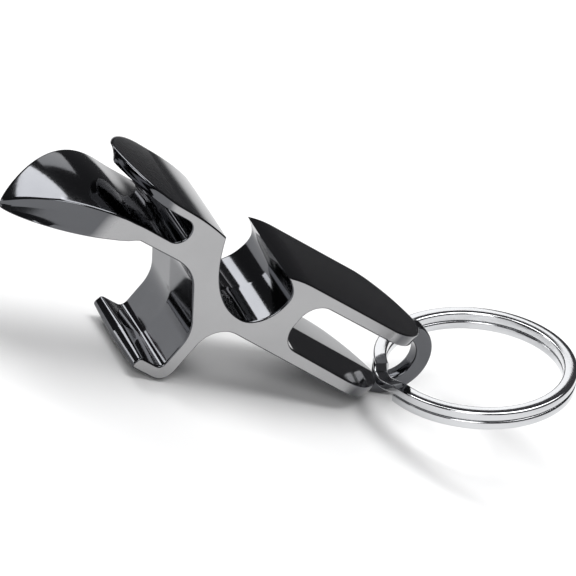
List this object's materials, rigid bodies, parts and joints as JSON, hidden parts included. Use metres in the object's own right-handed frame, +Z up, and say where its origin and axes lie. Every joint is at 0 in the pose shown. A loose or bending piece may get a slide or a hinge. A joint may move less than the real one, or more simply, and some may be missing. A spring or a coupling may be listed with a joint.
{
  "type": "keychain bottle opener",
  "caption": "Pocket bottle opener with a curved beak, a cap mouth with a hook, a notch and a slotted tail, whose eye holds a split key ring.",
  "frame": {"origin": "middle of the bounding box at the ground, where the hook and the underside of the tail stand", "axes": "+X from the beak to the key ring, +Y across the thickness to the far side face, +Z up"},
  "size_m": [0.0922, 0.0284, 0.0302],
  "materials": {
    "gunmetal_plate": "polished gunmetal plating over die-cast zinc, satin on the flat sides",
    "bright_steel": "bright nickel-plated spring steel"
  },
  "bodies": {
    "opener": {"opener_body": "gunmetal_plate"},
    "key_ring": {"split_ring": "bright_steel"}
  },
  "joints": [
    {"name": "ring_swing", "type": "hinge", "parent": "opener", "child": "key_ring", "pos_m": [0.02183, 0.00653, 0.00546], "axis": [0, -1, 0], "range_deg": [-65, 40]}
  ]
}
